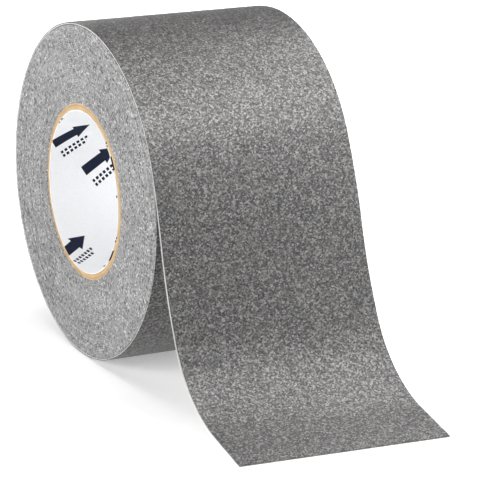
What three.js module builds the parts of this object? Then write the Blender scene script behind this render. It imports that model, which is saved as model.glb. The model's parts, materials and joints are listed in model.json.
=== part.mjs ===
// A roll of abrasive grip tape on a paper core, with its free end peeled off the roll and resting on the floor.
// Millimetres and degrees. The roll's axis runs along X, +Z is up, and the free end points towards -Y.
// The origin is on the floor, at the middle of the object's plan.
import * as THREE from "three";

// Driving dimensions
const TAPE_WIDTH = 101.6;
const ROLL_RADIUS = 80.3;
const ROLL_AXIS_Y = 45;
const CORE_BORE_RADIUS = 38.8;
const CORE_LENGTH = 101.4;

// The core is wound from a printed lining and plies of kraft board.
const LINING_THICKNESS = 0.18;
const PLY_THICKNESS = 0.58;
const PLY_COUNT = 5;
const GLUE_GAP = 0.02;

// The tape's layers, from its gritty face inwards.
const LAYERS = [
  { name: "grit", thickness: 0.43, color: 0x808182, roughness: 0.95 },
  { name: "film", thickness: 0.13, color: 0x3b3c3e, roughness: 0.5 },
  { name: "adhesive", thickness: 0.07, color: 0xb4af9e, roughness: 0.35 },
  { name: "liner", thickness: 0.12, color: 0xf0efeb, roughness: 0.7 },
];
const BOND_GAP = 0.02;
const TAPE_THICKNESS = LAYERS.reduce((sum, layer) => sum + layer.thickness, (LAYERS.length - 1) * BOND_GAP);

// The outermost turn leaves the roll at this angle above the horizontal, on the roll's front.
const PEEL_ANGLE = 25;
const OUTER_TURN_SWEEP = 345;

// The free end's bends after the peel line: how far each runs, and how much the tape turns in it.
// A positive turn follows the roll round, and a negative one flares away from it.
const TAIL_BENDS = [
  { length: 40, turn: 9 },
  { length: 44, turn: -12 },
  { length: 52, turn: -50 },
];
// The free end leans off the roll's plane by this much at its tip.
const TAIL_SKEW = 3.9;

// Hinge lines in the free end: the distance past the peel line of the bend above the floor, and the distance
// from the tip of the line where the liner starts to peel.
const CURL_LINE = 110;
const FLAP_LENGTH = 30;
const HINGE_GAP = 0.5;

// The wound turns rotate inside the outermost turn with this clearance.
const TURN_CLEARANCE = 0.2;

const ROUND_SEGMENTS = 72;
const OUTER_TURN_STEP = 7;
const TAIL_STEP = 4;

const radians = THREE.MathUtils.degToRad;
const peelDistance = ROLL_RADIUS * radians(OUTER_TURN_SWEEP);

// One step along a bend: a heading in the Y-Z plane, turned by a given angle over a given length.
function follow({ y, z, heading }, length, turn) {
  const half = turn / 2;
  const chord = half === 0 ? length : (length * Math.sin(half)) / half;
  return {
    y: y + chord * Math.cos(heading + half),
    z: z + chord * Math.sin(heading + half),
    heading: heading + turn,
  };
}

// The hidden end of the outermost turn, where the strip's path starts. The path runs back along the bottom, up
// the back and over the top to the peel line, and its left side faces the roll's axis.
const PATH_START = {
  y: ROLL_AXIS_Y - ROLL_RADIUS * Math.cos(radians(PEEL_ANGLE + OUTER_TURN_SWEEP)),
  z: ROLL_RADIUS + ROLL_RADIUS * Math.sin(radians(PEEL_ANGLE + OUTER_TURN_SWEEP)),
  heading: radians(270 - PEEL_ANGLE - OUTER_TURN_SWEEP),
};

// The bends of the whole path. The last stretch is straight, and ends where its underside meets the floor.
function pathBends() {
  const bends = [{ length: peelDistance, turn: OUTER_TURN_SWEEP }, ...TAIL_BENDS];
  const end = bends.reduce((at, bend) => follow(at, bend.length, radians(bend.turn)), PATH_START);
  const drop = end.z - TAPE_THICKNESS * -Math.cos(end.heading);
  return [...bends, { length: drop / -Math.sin(end.heading), turn: 0 }];
}

const BENDS = pathBends();
const PATH_LENGTH = BENDS.reduce((sum, bend) => sum + bend.length, 0);
const TAIL_LENGTH = PATH_LENGTH - peelDistance;

// The point of the tape's gritty face at a distance along the path.
function pathPoint(distance) {
  let at = PATH_START;
  let left = distance;
  for (const { length, turn } of BENDS) {
    const part = Math.min(left, length);
    at = follow(at, part, (radians(turn) * part) / length);
    left -= part;
  }
  const past = Math.max(0, distance - peelDistance) / TAIL_LENGTH;
  return { ...at, lean: past * Math.tan(radians(TAIL_SKEW)) };
}

// The four corners of a layer's section at one point of the path, from its outer left corner round to its
// inner left corner. Depths are measured from the gritty face.
function sectionCorners({ y, z, heading, lean }, outerDepth, innerDepth) {
  const corner = (x, depth) => [x, y - depth * Math.sin(heading) - lean * x, z + depth * Math.cos(heading)];
  const side = TAPE_WIDTH / 2;
  return [corner(-side, outerDepth), corner(side, outerDepth), corner(side, innerDepth), corner(-side, innerDepth)];
}

// A quad as two triangles that share the diagonal from its first corner. The free end is twisted, so its wide
// faces are all split the same way, which keeps the layers' faces parallel.
function splitQuad(first, second, third, fourth) {
  return [[first, second, third], [first, third, fourth]];
}

// Distances along the path where a piece of tape has its sections: its two ends, and every whole step between
// them, so that layers that end in different places still have their sections in common.
function sectionDistances(from, to, step) {
  const distances = [from];
  for (let whole = Math.floor(from / step) + 1; whole * step < to; whole++) {
    distances.push(whole * step);
  }
  return [...distances, to];
}

// A closed solid of one layer of the tape between two distances along the path.
function layerSolid(from, to, step, outerDepth, innerDepth) {
  const distances = sectionDistances(from, to, step);
  const corners = distances.flatMap((distance) => sectionCorners(pathPoint(distance), outerDepth, innerDepth));
  const count = distances.length - 1;
  const faces = [[0, 1, 2], [0, 2, 3]];
  for (let first = 0; first < 4 * count; first += 4) {
    const [a, b, c, d] = [first, first + 1, first + 2, first + 3];
    faces.push(...splitQuad(a, a + 4, b + 4, b), ...splitQuad(b, b + 4, c + 4, c));
    faces.push(...splitQuad(d, c, c + 4, d + 4), ...splitQuad(d, d + 4, a + 4, a));
  }
  const last = 4 * count;
  faces.push([last, last + 2, last + 1], [last, last + 3, last + 2]);
  const geometry = new THREE.BufferGeometry();
  geometry.setAttribute("position", new THREE.Float32BufferAttribute(corners.flat(), 3));
  geometry.setIndex(faces.flat());
  return geometry;
}

function namedMesh(name, geometry, color, roughness) {
  const material = new THREE.MeshStandardMaterial({ color, roughness, metalness: 0 });
  const mesh = new THREE.Mesh(geometry, material);
  mesh.name = name;
  return mesh;
}

// A stretch of the tape as one mesh for each of its layers, named after the stretch. A layer listed in endings
// stops short, at the distance given there.
function tapeStretch(stretch, from, to, step, endings = {}) {
  const group = new THREE.Group();
  let depth = 0;
  for (const { name, thickness, color, roughness } of LAYERS) {
    const end = endings[name] ?? to;
    const solid = layerSolid(from, end, step, depth, depth + thickness);
    group.add(namedMesh(`${stretch}_${name}`, solid, color, roughness));
    depth += thickness + BOND_GAP;
  }
  return group;
}

// A round tube about Y, centred on the origin.
function tube(innerRadius, outerRadius, length) {
  const half = length / 2;
  const profile = [
    new THREE.Vector2(innerRadius, -half),
    new THREE.Vector2(outerRadius, -half),
    new THREE.Vector2(outerRadius, half),
    new THREE.Vector2(innerRadius, half),
    new THREE.Vector2(innerRadius, -half),
  ];
  return new THREE.LatheGeometry(profile, ROUND_SEGMENTS);
}

// The paper core with the turns wound on it, which spin together.
function woundRoll() {
  const group = new THREE.Group();
  group.position.set(0, ROLL_AXIS_Y, ROLL_RADIUS);
  group.rotation.z = -Math.PI / 2;
  let radius = CORE_BORE_RADIUS;
  group.add(namedMesh("core_lining", tube(radius, radius + LINING_THICKNESS, CORE_LENGTH), 0xf6f6f3, 0.6));
  radius += LINING_THICKNESS + GLUE_GAP;
  for (let ply = 1; ply <= PLY_COUNT; ply++) {
    group.add(namedMesh(`core_ply_${ply}`, tube(radius, radius + PLY_THICKNESS, CORE_LENGTH), 0xd3b27e, 0.85));
    radius += PLY_THICKNESS + GLUE_GAP;
  }
  const packRadius = ROLL_RADIUS - TAPE_THICKNESS - TURN_CLEARANCE;
  group.add(namedMesh("wound_turns", tube(radius, packRadius, TAPE_WIDTH), 0xa3a3a1, 0.9));
  return group;
}

function outerTurn() {
  return tapeStretch("outer_turn", 0, peelDistance - HINGE_GAP / 2, OUTER_TURN_STEP);
}

function tail() {
  const from = peelDistance + HINGE_GAP / 2;
  return tapeStretch("tail", from, peelDistance + CURL_LINE - HINGE_GAP / 2, TAIL_STEP);
}

// The stretch past the bend, whose liner ends where the flap starts.
function tailEnd() {
  const from = peelDistance + CURL_LINE + HINGE_GAP / 2;
  const linerEnd = PATH_LENGTH - FLAP_LENGTH - HINGE_GAP / 2;
  return tapeStretch("tail_end", from, PATH_LENGTH, TAIL_STEP, { liner: linerEnd });
}

// The end of the liner, which peels off the adhesive.
function linerFlap() {
  const liner = LAYERS.at(-1);
  const depth = TAPE_THICKNESS - liner.thickness;
  const from = PATH_LENGTH - FLAP_LENGTH + HINGE_GAP / 2;
  const solid = layerSolid(from, PATH_LENGTH, TAIL_STEP, depth, TAPE_THICKNESS);
  return namedMesh("liner_flap", solid, liner.color, liner.roughness);
}

const roll = new THREE.Group();
roll.add(woundRoll(), outerTurn(), tail(), tailEnd(), linerFlap());

export default roll;
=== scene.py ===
"""The looks of a roll of abrasive grip tape: its gritty sheet, wound edges, layers, liner and printed core.

Metres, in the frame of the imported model. The roll's axis runs along X, and the free end points towards -Y."""

import json
from math import atan2, ceil, cos, exp, pi, radians, sin, tan

import bpy
import numpy as np
from mathutils import Matrix, Vector


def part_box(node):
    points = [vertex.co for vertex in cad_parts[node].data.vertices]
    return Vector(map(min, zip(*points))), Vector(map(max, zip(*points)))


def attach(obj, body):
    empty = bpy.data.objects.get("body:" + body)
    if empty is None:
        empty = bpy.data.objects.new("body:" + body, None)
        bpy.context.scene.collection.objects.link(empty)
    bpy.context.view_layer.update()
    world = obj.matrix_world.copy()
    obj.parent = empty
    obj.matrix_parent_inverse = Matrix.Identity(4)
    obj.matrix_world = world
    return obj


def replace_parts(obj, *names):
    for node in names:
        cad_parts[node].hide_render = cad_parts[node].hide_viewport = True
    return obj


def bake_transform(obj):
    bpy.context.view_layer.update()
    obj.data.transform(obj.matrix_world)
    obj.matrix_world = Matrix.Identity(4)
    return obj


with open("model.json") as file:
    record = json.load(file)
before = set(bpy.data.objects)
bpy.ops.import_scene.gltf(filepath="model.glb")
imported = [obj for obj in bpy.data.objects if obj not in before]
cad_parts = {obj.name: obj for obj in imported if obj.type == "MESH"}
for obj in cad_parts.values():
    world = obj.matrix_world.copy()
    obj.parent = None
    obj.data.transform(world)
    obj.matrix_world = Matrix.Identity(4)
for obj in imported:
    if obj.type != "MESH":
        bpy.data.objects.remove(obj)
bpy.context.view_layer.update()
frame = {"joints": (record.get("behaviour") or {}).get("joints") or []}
RANDOM = np.random.default_rng(11)

MM = 0.001
JOINTS = {joint["name"]: joint for joint in frame["joints"]}


def radius_of(node):
    low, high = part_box(node)
    return (high.z - low.z) / 2


# The roll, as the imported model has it.
LINING_THICKNESS = 0.18 * MM
PLY_THICKNESS = 0.58 * MM
GLUE_GAP = 0.02 * MM
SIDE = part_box("wound_turns")[1].x
CORE_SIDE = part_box("core_lining")[1].x
AXIS = (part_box("wound_turns")[0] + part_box("wound_turns")[1]) / 2
ROLL_RADIUS = AXIS.z
PACK_RADIUS = radius_of("wound_turns")
BORE_RADIUS = radius_of("core_lining") - LINING_THICKNESS
PLIES = [f"core_ply_{number}" for number in range(1, 6)]
CORE_RADIUS = radius_of(PLIES[-1])

# The tape's layers, as depths under its gritty face.
GRIT_DEPTH = (0.0, 0.43 * MM)
FILM_DEPTH = (0.43 * MM, 0.58 * MM)
ADHESIVE_DEPTH = (0.58 * MM, 0.67 * MM)
LINER_DEPTH = (0.67 * MM, 0.81 * MM)
TAPE_THICKNESS = LINER_DEPTH[1]

# The free end: where it peels off, its bends (length, turn in degrees) and its lean at the tip.
PEEL_POINT = Vector(JOINTS["tail_lift"]["pos_m"])
PEEL_ANGLE = atan2(PEEL_POINT.z - AXIS.z, AXIS.y - PEEL_POINT.y)
TAIL_BENDS = ((40 * MM, 9), (44 * MM, -12), (52 * MM, -50))
TAIL_SKEW = radians(3.9)
CURL_LINE = 110 * MM
FLAP_LENGTH = 30 * MM

# The outermost turn runs this far round, and thins out over the last part, where the free end hides it.
OUTER_TURN_SWEEP = radians(352)
TAPER_SWEEP = radians(107)
THINNEST = 0.04


# ---------------------------------------------------------------- the tape's path


def follow(at, length, turn):
    """One bend of the path from (y, z, heading)."""
    y, z, heading = at
    half = turn / 2
    chord = length if half == 0 else length * sin(half) / half
    return (y + chord * cos(heading + half), z + chord * sin(heading + half), heading + turn)


def tail_bends():
    """The free end's bends. The last stretch is straight, and ends where its underside meets the floor."""
    bends = [(length, radians(turn)) for length, turn in TAIL_BENDS]
    at = (PEEL_POINT.y, PEEL_POINT.z, 1.5 * pi - PEEL_ANGLE)
    for length, turn in bends:
        at = follow(at, length, turn)
    drop = at[1] + TAPE_THICKNESS * cos(at[2])
    return bends + [(drop / -sin(at[2]), 0.0)]


BENDS = tail_bends()
TAIL_LENGTH = sum(length for length, _ in BENDS)


def path_point(distance):
    """(y, z, heading, lean, share) of the gritty face. Distance counts from the peel line, and is negative
    on the roll. Share is how much of its thickness the tape has there."""
    if distance < 0:
        sweep = -distance / ROLL_RADIUS
        angle = PEEL_ANGLE + sweep
        thinned = max(0.0, sweep - (OUTER_TURN_SWEEP - TAPER_SWEEP)) / TAPER_SWEEP
        share = 1 - (1 - THINNEST) * thinned
        radius = ROLL_RADIUS - TAPE_THICKNESS * (1 - share)
        return (AXIS.y - radius * cos(angle), AXIS.z + radius * sin(angle), 1.5 * pi - angle, 0.0, share)
    at = (PEEL_POINT.y, PEEL_POINT.z, 1.5 * pi - PEEL_ANGLE)
    left = distance
    for length, turn in BENDS:
        part = min(left, length)
        at = follow(at, part, turn * part / length)
        left -= part
    return (*at, tan(TAIL_SKEW) * distance / TAIL_LENGTH, 1.0)


def tape_point(distance, across, depth):
    """A point of the tape, at a place across it and a depth under its gritty face."""
    y, z, heading, lean, share = path_point(distance)
    inwards = depth * share
    return (across, y - inwards * sin(heading) - lean * across, z + inwards * cos(heading))


# ---------------------------------------------------------------- meshes


SHARP_ANGLE = radians(50)


def new_object(name, vertices, faces, material):
    """A smooth-shaded mesh object whose edges stay sharp above an angle."""
    mesh = bpy.data.meshes.new(name)
    mesh.from_pydata(vertices, [], faces)
    mesh.update()
    mesh.shade_smooth()
    mesh.set_sharp_from_angle(angle=SHARP_ANGLE)
    mesh.materials.append(material)
    made = bpy.data.objects.new(name, mesh)
    bpy.context.scene.collection.objects.link(made)
    return made


def steps(start, end, step):
    """Distances from start to end, about a step apart."""
    return np.linspace(start, end, ceil((end - start) / step) + 1)


# Grain heights are drawn once for the whole tape, so that neighbouring pieces meet without a step.
GRAIN_PITCH = 0.9 * MM
GRAIN_HEIGHT = 0.07 * MM
GRAIN_COLUMNS = ceil(2 * SIDE / GRAIN_PITCH)
PATH_START = -ROLL_RADIUS * OUTER_TURN_SWEEP
GRAIN_ROWS = ceil((TAIL_LENGTH - PATH_START) / GRAIN_PITCH)
GRAIN_STEP = (TAIL_LENGTH - PATH_START) / GRAIN_ROWS
GRAIN = RANDOM.normal(0, 0.5, (GRAIN_ROWS + 1, GRAIN_COLUMNS + 1)).clip(-1.2, 1.2)
EDGE_FRAY = RANDOM.normal(0, 0.04 * MM, (GRAIN_ROWS + 1, 2))
EDGE_DROP = 0.05 * MM

# The thin layers under the grit: their sections' spacing, and the raggedness of their slit edges. An edge
# that stands out past the tape's side does so by the least share on the roll, and fully once it is this far
# past the peel line.
SHEET_STEP = 1.6 * MM
SLIT_FRAY = 0.02 * MM
OVERHANG_REACH = 30 * MM
LEAST_OVERHANG = 0.15


def grain_row(distance):
    return round((distance - PATH_START) / GRAIN_STEP)


def on_row(distance):
    """The nearest distance that has a row of grain, so that two pieces can meet there."""
    return PATH_START + grain_row(distance) * GRAIN_STEP


def gritty_sheet(name, start, end, material):
    """The grit coat between two distances along the tape: a closed sheet with grain on its outer face."""
    rows = range(grain_row(start), grain_row(end) + 1)
    columns = np.linspace(-SIDE, SIDE, GRAIN_COLUMNS + 1)
    vertices = []
    for row in rows:
        distance = PATH_START + row * GRAIN_STEP
        share = path_point(distance)[4]
        for column, across in enumerate(columns):
            rise = GRAIN_HEIGHT * GRAIN[row, column] * share
            if column in (0, GRAIN_COLUMNS):
                across += EDGE_FRAY[row, 0 if column == 0 else 1]
                rise -= EDGE_DROP * share
            vertices.append(tape_point(distance, across, GRIT_DEPTH[0] - rise))
        for across in (-SIDE, SIDE):
            vertices.append(tape_point(distance, across, GRIT_DEPTH[1]))
    width = GRAIN_COLUMNS + 3
    return new_object(name, vertices, sheet_faces(len(rows), GRAIN_COLUMNS, width), material)


def sheet_faces(rows, columns, width):
    """Faces of a closed sheet, whose rows hold columns + 1 outer points, and then the two inner corners."""
    faces = [tuple(range(columns + 1)) + (width - 1, width - 2)]
    for row in range(rows - 1):
        near, far = row * width, (row + 1) * width
        left, right = width - 2, width - 1
        for column in range(columns):
            faces.append((near + column, far + column, far + column + 1, near + column + 1))
        faces.append((near + columns, far + columns, far + right, near + right))
        faces.append((near + right, far + right, far + left, near + left))
        faces.append((near + left, far + left, far, near))
    last = (rows - 1) * width
    faces.append(tuple(last + i for i in (width - 2, width - 1, *range(columns, -1, -1))))
    return faces


def plain_sheet(name, start, end, depths, overhang, material):
    """One of the thin layers under the grit. Overhang is how far its slit edges stand out past the tape's
    side, once the tape has left the roll."""
    distances = steps(start, end, SHEET_STEP)
    vertices = []
    for distance in distances:
        fray = RANDOM.normal(0, SLIT_FRAY, 2)
        out = overhang * min(1.0, max(LEAST_OVERHANG, distance / OVERHANG_REACH))
        sides = (-SIDE - out + fray[0], SIDE + out + fray[1])
        for depth in depths:
            for across in sides:
                vertices.append(tape_point(distance, across, depth))
    return new_object(name, vertices, sheet_faces(len(distances), 1, 4), material)


def ring_tube(name, profile, segments, material, wobble=0.0):
    """A tube round the roll's axis. Profile lists (radius, x) once round its section, from its inner left
    corner over its outer left one, and wobble moves its points along the axis at random."""
    vertices = []
    count = len(profile)
    for segment in range(segments):
        angle = 2 * pi * segment / segments
        for radius, x in profile:
            shift = RANDOM.normal(0, wobble) if wobble else 0.0
            vertices.append((x + shift, AXIS.y + radius * cos(angle), AXIS.z + radius * sin(angle)))
    faces = []
    for segment in range(segments):
        near, far = segment * count, (segment + 1) % segments * count
        for corner in range(count):
            after = (corner + 1) % count
            faces.append((near + corner, far + corner, far + after, near + after))
    return new_object(name, vertices, faces, material)


# ---------------------------------------------------------------- the wound turns

TURNS = (PACK_RADIUS - CORE_RADIUS) / TAPE_THICKNESS + 1
TURN_STATIONS = 120

# The kraft plies end a little inside the tape's left edge, and the first turns follow them in.
CORE_SHIFT = 0.5 * MM
DISH_TURNS = 2.5
LINER_SHARE = (TAPE_THICKNESS - FILM_DEPTH[1]) / TAPE_THICKNESS

# The spiral ends a little below the peel line, behind the free end.
PACK_END_ANGLE = PEEL_ANGLE - radians(12)
LEAST_THICKNESS = 0.01 * MM

# The tape wandered sideways while it was wound: slow waves over many turns, and a jump at each turn.
WAVE_COUNT = 9
WAVE_SIZE = 0.02 * MM
WAVE_RATES = (0.3, 6.4)
WAVE_SHARES = (0.3, 1.0)
WAVES = [
    (RANDOM.uniform(*WAVE_RATES), RANDOM.uniform(0, 2 * pi), RANDOM.uniform(*WAVE_SHARES))
    for _ in range(WAVE_COUNT)
]
TURN_DRIFT = RANDOM.normal(0, 0.08 * MM, ceil(TURNS) + 2)


def edge_drift(turn):
    """How far the tape wandered sideways after so many turns from the core."""
    wave = sum(share * sin(rate * turn + phase) for rate, phase, share in WAVES)
    whole = int(turn)
    between = TURN_DRIFT[whole] + (TURN_DRIFT[whole + 1] - TURN_DRIFT[whole]) * (turn - whole)
    return WAVE_SIZE * wave + between + CORE_SHIFT * exp(-turn / DISH_TURNS)


def wound_strip(name, shares, profile, roughen, material):
    """One layer of the spiral. Shares are its bounds in the tape's thickness, from the liner's side. Profile
    is the shape of its cut edge, as (share of its thickness, how far it stands out)."""
    stations = np.linspace(0, TURNS, ceil(TURNS * TURN_STATIONS))
    vertices = []
    for turn in stations:
        inner = CORE_RADIUS + TAPE_THICKNESS * max(0.0, turn - 1)
        outer = min(CORE_RADIUS + TAPE_THICKNESS * turn, PACK_RADIUS)
        thickness = max(outer - inner, LEAST_THICKNESS)
        low, high = (inner + thickness * share for share in shares)
        angle = PACK_END_ANGLE + 2 * pi * (TURNS - turn)
        drift = edge_drift(turn)
        for outwards, places in ((-1, profile), (1, profile[::-1])):
            for share, out in places:
                radius = low + (high - low) * share
                x = drift + outwards * (SIDE + out + RANDOM.normal(0, roughen))
                vertices.append((x, AXIS.y - radius * cos(angle), AXIS.z + radius * sin(angle)))
    count = 2 * len(profile)
    faces = [tuple(range(count))]
    for station in range(len(stations) - 1):
        near, far = station * count, (station + 1) * count
        for corner in range(count):
            after = (corner + 1) % count
            faces.append((near + corner, far + corner, far + after, near + after))
    last = (len(stations) - 1) * count
    faces.append(tuple(last + corner for corner in range(count - 1, -1, -1)))
    return new_object(name, vertices, faces, material)


# ---------------------------------------------------------------- materials


class Shader:
    """A material and its nodes, which are added one by one from the object's coordinates."""

    def __init__(self, name, roughness):
        self.material = bpy.data.materials.new(name)
        self.material.use_nodes = True
        self.tree = self.material.node_tree
        self.surface = self.tree.nodes["Principled BSDF"]
        self.surface.inputs["Roughness"].default_value = roughness
        self.place = self.tree.nodes.new("ShaderNodeTexCoord").outputs["Object"]

    def add(self, kind, inputs, **settings):
        """A node with its settings, and its inputs as values or as other nodes' outputs."""
        node = self.tree.nodes.new("ShaderNode" + kind)
        for setting, value in settings.items():
            setattr(node, setting, value)
        for key, value in inputs.items():
            if isinstance(value, bpy.types.NodeSocket):
                self.tree.links.new(value, node.inputs[key])
            else:
                node.inputs[key].default_value = value
        return node

    def math(self, operation, first, second=0.0):
        return self.add("Math", {0: first, 1: second}, operation=operation).outputs[0]

    def noise(self, size, detail=3.0, stretch=(1, 1, 1)):
        """Smooth noise with features of about a size, in metres, longer along an axis by its stretch."""
        scale = [1 / (size * along) for along in stretch]
        placed = self.add("Mapping", {"Vector": self.place, "Scale": scale}).outputs[0]
        return self.add("TexNoise", {"Vector": placed, "Scale": 1.0, "Detail": detail}).outputs["Fac"]

    def cells(self, size):
        """(each cell's random number, distance from its centre) of grains of about a size, in metres."""
        grains = self.add("TexVoronoi", {"Vector": self.place, "Scale": 1 / size})
        number = self.add("SeparateColor", {"Color": grains.outputs["Color"]}).outputs["Red"]
        return number, grains.outputs["Distance"]

    def ramp(self, value, *stops):
        """Colours along a value, as (position, colour)."""
        node = self.add("ValToRGB", {"Fac": value})
        elements = node.color_ramp.elements
        elements[0].position, elements[1].position = stops[0][0], stops[-1][0]
        for position, _ in stops[1:-1]:
            elements.new(position)
        for element, (_, colour) in zip(elements, stops):
            element.color = (*colour, 1)
        return node.outputs["Color"]

    def mix(self, factor, first, second, blend="MIX"):
        """Two colours mixed. Inputs 6 and 7 and output 2 are the node's sockets for colours."""
        node = self.add("Mix", {"Factor": factor}, data_type="RGBA", blend_type=blend)
        for socket, value in ((node.inputs[6], first), (node.inputs[7], second)):
            if isinstance(value, bpy.types.NodeSocket):
                self.tree.links.new(value, socket)
            else:
                socket.default_value = (*value, 1)
        return node.outputs[2]

    def colour(self, value):
        self.tree.links.new(value, self.surface.inputs["Base Color"])

    def rough(self, value, low, high):
        spread = self.add("MapRange", {"Value": value, "To Min": low, "To Max": high}).outputs["Result"]
        self.tree.links.new(spread, self.surface.inputs["Roughness"])

    def bump(self, height, distance):
        bumped = self.add("Bump", {"Height": height, "Distance": distance, "Strength": 1.0})
        self.tree.links.new(bumped.outputs["Normal"], self.surface.inputs["Normal"])


def grey(value):
    return (value, value, value)


def warm_grey(value):
    """A grey that leans a little towards brown."""
    return (1.03 * value, value, 0.97 * value)


COARSE_GRAIN = 0.70 * MM
FINE_GRAIN = 0.38 * MM
FINE_SHARE = 0.3
FINE_HEIGHT = 0.6
GLINT = 0.5
GRAIN_IOR = 1.75


def grit_material():
    """Silicon carbide grains of mixed greys, some nearly black and a few bright, sunk in a grey resin."""
    shader = Shader("grit", 0.5)
    number, distance = shader.cells(COARSE_GRAIN)
    fine_number, fine_distance = shader.cells(FINE_GRAIN)
    grains = shader.ramp(
        number,
        (0.0, (0.002, 0.003, 0.010)),
        (0.20, (0.008, 0.010, 0.020)),
        (0.42, warm_grey(0.060)),
        (0.62, warm_grey(0.11)),
        (0.84, warm_grey(0.19)),
        (1.0, warm_grey(0.32)),
    )
    fine_grains = shader.ramp(
        fine_number, (0.0, grey(0.005)), (0.5, warm_grey(0.09)), (1.0, warm_grey(0.26))
    )
    shader.colour(shader.mix(FINE_SHARE, grains, fine_grains))
    shader.rough(fine_number, 0.42, 0.58)
    shader.surface.inputs["Metallic"].default_value = GLINT
    shader.surface.inputs["IOR"].default_value = GRAIN_IOR
    height = shader.math("ADD", distance, shader.math("MULTIPLY", fine_distance, FINE_HEIGHT))
    shader.bump(height, -0.07 * MM)
    return shader.material


def film_material():
    """The dark plastic film that carries the grit."""
    shader = Shader("film", 0.45)
    cloudy = shader.ramp(shader.noise(2 * MM), (0.3, grey(0.022)), (0.7, (0.040, 0.041, 0.046)))
    shader.colour(cloudy)
    shader.bump(shader.noise(0.4 * MM), 0.02 * MM)
    return shader.material


def adhesive_material():
    """A thin, slightly yellow layer of adhesive, with streaks from coating."""
    shader = Shader("adhesive", 0.35)
    streaks = shader.noise(0.8 * MM, stretch=(1, 6, 6))
    shader.colour(shader.ramp(streaks, (0.3, (0.34, 0.32, 0.26)), (0.7, (0.50, 0.48, 0.41))))
    shader.rough(streaks, 0.25, 0.5)
    shader.bump(streaks, 0.02 * MM)
    return shader.material


def liner_material():
    """Coated white release paper: faint fibres, clouds, and dust from the grit of the next turn."""
    shader = Shader("liner", 0.55)
    clouds = shader.noise(14 * MM)
    fibres = shader.noise(0.5 * MM, detail=5.0, stretch=(1, 3, 3))
    paper = shader.ramp(clouds, (0.3, (0.82, 0.82, 0.81)), (0.7, (0.90, 0.90, 0.89)))
    tone = shader.ramp(fibres, (0.3, grey(0.93)), (0.7, grey(1.0)))
    dust_number, dust_distance = shader.cells(1.4 * MM)
    dusty = shader.math("LESS_THAN", dust_distance, shader.math("MULTIPLY", dust_number, 0.16))
    shader.colour(shader.mix(dusty, shader.mix(1.0, paper, tone, "MULTIPLY"), grey(0.30)))
    shader.rough(fibres, 0.45, 0.65)
    shader.bump(fibres, 0.03 * MM)
    return shader.material


def wound_edge_material(name, dark, middle, light):
    """The cut edge of the wound tape: grains and dust in greys, with faint smears from the slitter."""
    shader = Shader(name, 0.8)
    number, distance = shader.cells(0.85 * MM)
    specks = shader.ramp(number, (0.0, dark), (0.35, middle), (0.8, middle), (1.0, light))
    smears = shader.ramp(shader.noise(12 * MM, stretch=(1, 3, 1)), (0.3, grey(0.88)), (0.7, grey(1.06)))
    shader.colour(shader.mix(1.0, specks, smears, "MULTIPLY"))
    shader.rough(number, 0.65, 0.9)
    shader.bump(distance, -0.1 * MM)
    return shader.material


def kraft_material(ply, tone):
    """Kraft board: brown fibres with paler and darker threads. Tone makes one ply paler than the next."""
    shader = Shader(f"kraft_board_{ply}", 0.85)
    clouds = shader.noise(7 * MM, detail=4.0)
    fibres = shader.noise(0.45 * MM, detail=5.0, stretch=(2, 1, 1))
    board = shader.ramp(clouds, (0.3, (0.36, 0.245, 0.125)), (0.7, (0.46, 0.315, 0.165)))
    threads = shader.ramp(fibres, (0.25, grey(0.70 * tone)), (0.5, grey(tone)), (0.8, grey(1.2 * tone)))
    shader.colour(shader.mix(1.0, board, threads, "MULTIPLY"))
    shader.rough(fibres, 0.75, 0.95)
    shader.bump(fibres, 0.08 * MM)
    return shader.material


# The marks printed on the core's lining, in millimetres of (x, arc length round the bore from +Y towards +Z).
PRINT_ACROSS = np.array((17.3, -16.5))
PRINT_ALONG = np.array((-5.1, -59.8))
PRINT_CENTRE = np.array((-41.5, 20.5))
PRINT_ANGLE = radians(33)
MARK_LENGTH = 20.0
MARK_NECK = 2.0
MARK_BODY = 2.7
MARK_HEAD = 4.6
ROW_PLACES = (-7.2, -9.6)
ROW_HEIGHT = 0.8
ROW_MARGIN = 1.0
TICK_PITCH = 2.3
TICK_SHARE = 0.62


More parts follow.
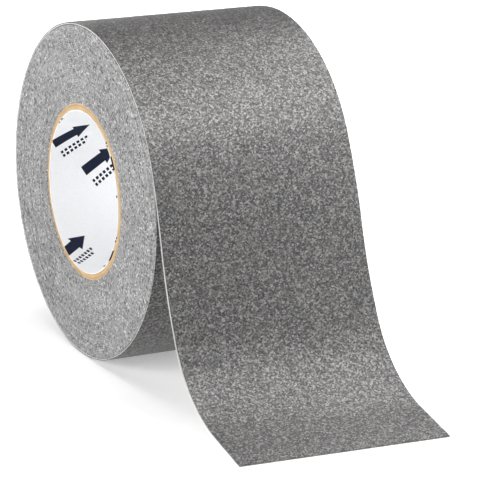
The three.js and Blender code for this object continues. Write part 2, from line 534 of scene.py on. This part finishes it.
def lining_material():
    """White paper printed with navy block arrows, each over two rows of ticks. Its UV map counts marks."""
    shader = Shader("printed_lining", 0.5)
    tile = shader.add("UVMap", {}).outputs["UV"]
    inside = shader.add("VectorMath", {0: tile}, operation="FRACTION").outputs[0]
    middle = shader.add("VectorMath", {0: inside, 1: (0.5, 0.5, 0)}, operation="SUBTRACT").outputs[0]
    # How far along and across the mark one tile reaches, in millimetres for each direction of the pattern.
    sides = np.array((PRINT_ACROSS, PRINT_ALONG))
    reach = [sides @ (cos(PRINT_ANGLE + turn), sin(PRINT_ANGLE + turn)) for turn in (0, pi / 2)]
    along, across = (
        shader.add("VectorMath", {0: middle, 1: (*way, 0)}, operation="DOT_PRODUCT").outputs["Value"]
        for way in reach
    )
    tip = MARK_LENGTH / 2
    head = shader.math("MULTIPLY", shader.math("SUBTRACT", tip, along), MARK_HEAD / (tip - MARK_NECK))
    in_head = shader.math("GREATER_THAN", along, MARK_NECK)
    in_body = shader.math("SUBTRACT", 1.0, in_head)
    half_width = shader.math(
        "ADD", shader.math("MULTIPLY", head, in_head), shader.math("MULTIPLY", MARK_BODY, in_body)
    )
    arrow = shader.math("LESS_THAN", shader.math("ABSOLUTE", across), half_width)
    ink = shader.math("MULTIPLY", arrow, shader.math("GREATER_THAN", along, -tip))
    in_pitch = shader.math("FRACT", shader.math("DIVIDE", along, TICK_PITCH))
    tick = shader.math("LESS_THAN", in_pitch, TICK_SHARE)
    for place in ROW_PLACES:
        off = shader.math("ABSOLUTE", shader.math("SUBTRACT", across, place))
        row = shader.math("MULTIPLY", shader.math("LESS_THAN", off, ROW_HEIGHT), tick)
        short = shader.math("LESS_THAN", shader.math("ABSOLUTE", along), tip - ROW_MARGIN)
        ink = shader.math("MAXIMUM", ink, shader.math("MULTIPLY", row, short))
    fibres = shader.noise(0.6 * MM, detail=5.0)
    paper = shader.ramp(fibres, (0.3, (0.86, 0.865, 0.88)), (0.7, (0.93, 0.935, 0.945)))
    navy = shader.ramp(fibres, (0.3, (0.002, 0.006, 0.022)), (0.7, (0.004, 0.010, 0.034)))
    shader.colour(shader.mix(ink, paper, navy))
    shader.surface.inputs["Specular IOR Level"].default_value = 0.2
    shader.rough(fibres, 0.4, 0.6)
    shader.bump(fibres, 0.03 * MM)
    return shader.material


# The floor's glow of painted light under the roll and far from it, and the distances between which it grows.
FLOOR_GLOW = 0.32
FAR_GLOW = 0.9
GLOW_REACH = (0.35, 1.0)


def floor_material():
    """A plain, matt, pale floor that glows like a light table, with painted light that is weaker under the roll
    and stronger away from it.
    """
    shader = Shader("floor", 0.9)
    mottle = shader.noise(40 * MM)
    shader.colour(shader.ramp(mottle, (0.3, grey(0.84)), (0.7, grey(0.86))))
    shader.surface.inputs["Specular IOR Level"].default_value = 0.0
    shader.surface.inputs["Emission Color"].default_value = (1, 1, 1, 1)
    outwards = shader.add("VectorMath", {0: shader.place}, operation="LENGTH").outputs["Value"]
    near, far = GLOW_REACH
    growth = {"Value": outwards, "From Min": near, "From Max": far, "To Min": FLOOR_GLOW, "To Max": FAR_GLOW}
    glow = shader.add("MapRange", growth).outputs["Result"]
    shader.tree.links.new(glow, shader.surface.inputs["Emission Strength"])
    return shader.material


# ---------------------------------------------------------------- the roll

PLY_TONES = (0.92, 1.12, 1.0, 0.84, 1.04)
PLY_SEGMENTS = 256
PLY_ROUNDING = 0.08 * MM
PLY_WOBBLE = 0.02 * MM

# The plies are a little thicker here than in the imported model, which narrows the gaps between them, and their
# ends are cut unevenly.
PLY_SWELL = 0.012 * MM
PLY_UNEVEN = 0.07 * MM
MOST_UNEVEN = 0.12 * MM


def core_rings():
    """The kraft plies, whose cut ends don't quite line up."""
    radius = BORE_RADIUS + LINING_THICKNESS + GLUE_GAP
    for number, (ply, tone) in enumerate(zip(PLIES, PLY_TONES), start=1):
        kraft = kraft_material(number, tone)
        uneven = RANDOM.normal(0, PLY_UNEVEN, 2).clip(-MOST_UNEVEN, MOST_UNEVEN)
        left = -(CORE_SIDE - CORE_SHIFT + uneven[0])
        right = CORE_SIDE - CORE_SHIFT / 2 + uneven[1]
        outer = radius + PLY_THICKNESS + PLY_SWELL
        profile = (
            (radius, left + PLY_ROUNDING),
            (radius + PLY_ROUNDING, left),
            (outer - PLY_ROUNDING, left),
            (outer, left + PLY_ROUNDING),
            (outer, right - PLY_ROUNDING),
            (outer - PLY_ROUNDING, right),
            (radius + PLY_ROUNDING, right),
            (radius, right - PLY_ROUNDING),
        )
        piece = ring_tube(ply.replace("core", "kraft"), profile, PLY_SEGMENTS, kraft, PLY_WOBBLE)
        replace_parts(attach(piece, "wound_roll"), ply)
        radius += PLY_THICKNESS + GLUE_GAP


LINING_SEGMENTS = 192


def printed_lining():
    """The lining of the bore, with a UV map that counts its printed marks."""
    outer = BORE_RADIUS + LINING_THICKNESS + GLUE_GAP / 2
    profile = ((BORE_RADIUS, -CORE_SIDE), (outer, -CORE_SIDE), (outer, CORE_SIDE), (BORE_RADIUS, CORE_SIDE))
    piece = ring_tube("bore_lining", profile, LINING_SEGMENTS, lining_material())
    to_tiles = np.linalg.inv(np.array((PRINT_ACROSS, PRINT_ALONG)).T)
    mesh = piece.data
    layer = mesh.uv_layers.new(name="marks")
    for face in mesh.polygons:
        centre = face.center
        middle = atan2(centre.z - AXIS.z, centre.y - AXIS.y)
        for corner in face.loop_indices:
            point = mesh.vertices[mesh.loops[corner].vertex_index].co
            angle = atan2(point.z - AXIS.z, point.y - AXIS.y)
            angle += 2 * pi * round((middle - angle) / (2 * pi))
            place = np.array((point.x, angle * BORE_RADIUS)) / MM - PRINT_CENTRE
            layer.data[corner].uv = to_tiles @ place + 0.5
    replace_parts(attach(piece, "wound_roll"), "core_lining")


# The cut edges of the wound tape and of its liner, as (share of its thickness, how far it stands out).
TAPE_EDGE = ((0.0, -0.03 * MM), (0.35, 0.02 * MM), (0.75, 0.0), (1.0, -0.08 * MM))
LINER_EDGE = ((0.0, 0.02 * MM), (0.5, 0.06 * MM), (1.0, 0.02 * MM))
TAPE_RAGGED = 0.03 * MM
LINER_RAGGED = 0.015 * MM


def wound_turns():
    """The spiral of the wound tape: its gritty film, and the liner under it."""
    tape_look = wound_edge_material("wound_edges", grey(0.03), grey(0.168), grey(0.38))
    tape = wound_strip("wound_tape", (LINER_SHARE, 1.0), TAPE_EDGE, TAPE_RAGGED, tape_look)
    liner_look = wound_edge_material("wound_liner", grey(0.085), grey(0.305), grey(0.58))
    liner = wound_strip("wound_liner", (0.0, LINER_SHARE), LINER_EDGE, LINER_RAGGED, liner_look)
    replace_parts(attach(tape, "wound_roll"), "wound_turns")
    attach(liner, "wound_roll")


# Where the tape's pieces meet, and the stretches of the path at their hinge lines. The flap's piece
# starts a little before its stretch.
LIFT_START = -28 * MM
LIFT_END = 55 * MM
LIFT_BEND = (0.0, 26 * MM)
CURL_BEND = (CURL_LINE - 14 * MM, CURL_LINE + 14 * MM)
FLAP_START = TAIL_LENGTH - FLAP_LENGTH
FLAP_BEND = (FLAP_START, FLAP_START + 8 * MM)
FLAP_OVERLAP = 4 * MM


def blend_points(start, end):
    """The two points of the path at the ends of a stretch."""
    return [Vector(tape_point(distance, 0.0, 0.0)) for distance in (start, end)]


# How far each thin layer stands out past the grit's edges.
OVERHANGS = {"film": 0.02 * MM, "adhesive": -0.05 * MM, "liner": 0.50 * MM}


def stretch_of(layer, name, start, end, depths, material):
    """One layer of the tape between two distances along it."""
    if layer == "grit":
        sheet = gritty_sheet(f"{name}_{layer}", start, end, material)
    else:
        sheet = plain_sheet(f"{name}_{layer}", start, end, depths, OVERHANGS[layer], material)
    return sheet


def tape_layers():
    """The outermost turn and the free end, layer by layer, in stretches that meet at the hinge lines."""
    layers = (
        ("grit", GRIT_DEPTH, grit_material()),
        ("film", FILM_DEPTH, film_material()),
        ("adhesive", ADHESIVE_DEPTH, adhesive_material()),
        ("liner", LINER_DEPTH, liner_material()),
    )
    lift_start, lift_end = on_row(LIFT_START), on_row(LIFT_END)
    for layer, depths, material in layers:
        tip = on_row(FLAP_START - FLAP_OVERLAP) if layer == "liner" else TAIL_LENGTH
        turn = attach(stretch_of(layer, "turn", PATH_START, lift_start, depths, material), "outer_turn")
        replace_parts(turn, f"outer_turn_{layer}")
        lift = stretch_of(layer, "lift", lift_start, lift_end, depths, material)
        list(blend_points(*LIFT_BEND))
        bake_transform(lift)
        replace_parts(lift, f"tail_{layer}")
        end = stretch_of(layer, "end", lift_end, tip, depths, material)
        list(blend_points(*CURL_BEND))
        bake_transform(end)
        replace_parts(end, f"tail_end_{layer}")
        if layer == "liner":
            flap = stretch_of(layer, "flap", tip, TAIL_LENGTH, depths, material)
            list(blend_points(*FLAP_BEND))
            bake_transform(flap)
            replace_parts(flap, "liner_flap")


# ---------------------------------------------------------------- camera, floor and lights

CAMERA_AZIMUTH = radians(-28.05)
CAMERA_ELEVATION = radians(16.71)
CAMERA_ROLL = radians(1.252)
CAMERA_DISTANCE = 1.2706
CAMERA_LENS = 197.5
CAMERA_SIGHT = 100
AIM_RIGHT = 29.07 * MM
AIM_UP = -28.95 * MM


def direction(azimuth, elevation):
    """The unit vector towards an azimuth, counted from the front to the right, and an elevation."""
    return Vector((sin(azimuth) * cos(elevation), -cos(azimuth) * cos(elevation), sin(elevation)))


def camera_axes():
    """(right, up, back) of the camera."""
    back = direction(CAMERA_AZIMUTH, CAMERA_ELEVATION)
    level = Vector((cos(CAMERA_AZIMUTH), sin(CAMERA_AZIMUTH), 0))
    up = back.cross(level)
    right = cos(CAMERA_ROLL) * level + sin(CAMERA_ROLL) * up
    return right, back.cross(right), back


def add_camera():
    right, up, back = camera_axes()
    data = bpy.data.cameras.new("camera")
    data.lens = CAMERA_LENS
    data.clip_end = CAMERA_SIGHT
    camera = bpy.data.objects.new("camera", data)
    place = AXIS + AIM_RIGHT * right + AIM_UP * up + CAMERA_DISTANCE * back
    camera.matrix_world = Matrix.Translation(place) @ Matrix((right, up, back)).transposed().to_4x4()
    bpy.context.scene.collection.objects.link(camera)
    bpy.context.scene.camera = camera


# The floor reaches past the picture, and lies just clear of the part.
FLOOR_REACH = 6.0
FLOOR_DEPTH = 0.15 * MM


def add_floor():
    quarters = ((-1, -1), (1, -1), (1, 1), (-1, 1))
    corners = [(x * FLOOR_REACH, y * FLOOR_REACH, -FLOOR_DEPTH) for x, y in quarters]
    new_object("floor", corners, [(0, 1, 2, 3)], floor_material())


def add_light(name, place, aim, size, power):
    """A square softbox at a place, turned towards a point."""
    towards = Vector(place) - Vector(aim)
    data = bpy.data.lights.new(name, "AREA")
    data.size = size
    data.energy = power
    light = bpy.data.objects.new(name, data)
    light.rotation_mode = "QUATERNION"
    light.rotation_quaternion = towards.to_track_quat("Z", "Y")
    light.location = place
    bpy.context.scene.collection.objects.link(light)


def around(azimuth, elevation, distance):
    """A point round the middle of the roll, by azimuth and elevation in degrees."""
    return WIDE_AIM + distance * direction(radians(azimuth), radians(elevation))


# Low, wide softboxes round the roll, as (azimuth, elevation, power), and small near ones over it, as
# (place, power).
WIDE_LIGHTS = ((-90, 12, 34), (60, 12, 16), (180, 12, 18), (100, 70, 2.5), (180, 70, 6.2))
WIDE_AIM = Vector((0, 0, 0.05))
WIDE_SIZE = 0.9
WIDE_DISTANCE = 1.6
NEAR_LIGHTS = (
    ((-0.10, -0.05, 0.35), 0.17),
    ((0.10, -0.20, 0.42), 0.74),
    ((0.30, -0.20, 0.42), 0.52),
    ((0.30, 0.10, 0.40), 0.72),
)
NEAR_SIZE = 0.15
NEAR_AIM = (0, 0, 0.08)


def add_lights():
    for azimuth, elevation, power in WIDE_LIGHTS:
        add_light("wide_light", around(azimuth, elevation, WIDE_DISTANCE), WIDE_AIM, WIDE_SIZE, power)
    for place, power in NEAR_LIGHTS:
        add_light("near_light", place, NEAR_AIM, NEAR_SIZE, power)
    world = bpy.data.worlds.new("world")
    world.use_nodes = True
    world.node_tree.nodes["Background"].inputs["Color"].default_value = (1, 1, 1, 1)
    # The backdrop past the floor is seen, but lights nothing.
    world.cycles_visibility.diffuse = False
    world.cycles_visibility.glossy = False
    bpy.context.scene.world = world
    bpy.context.scene.view_settings.view_transform = "Standard"


core_rings()
printed_lining()
wound_turns()
tape_layers()
add_floor()
add_camera()
add_lights()
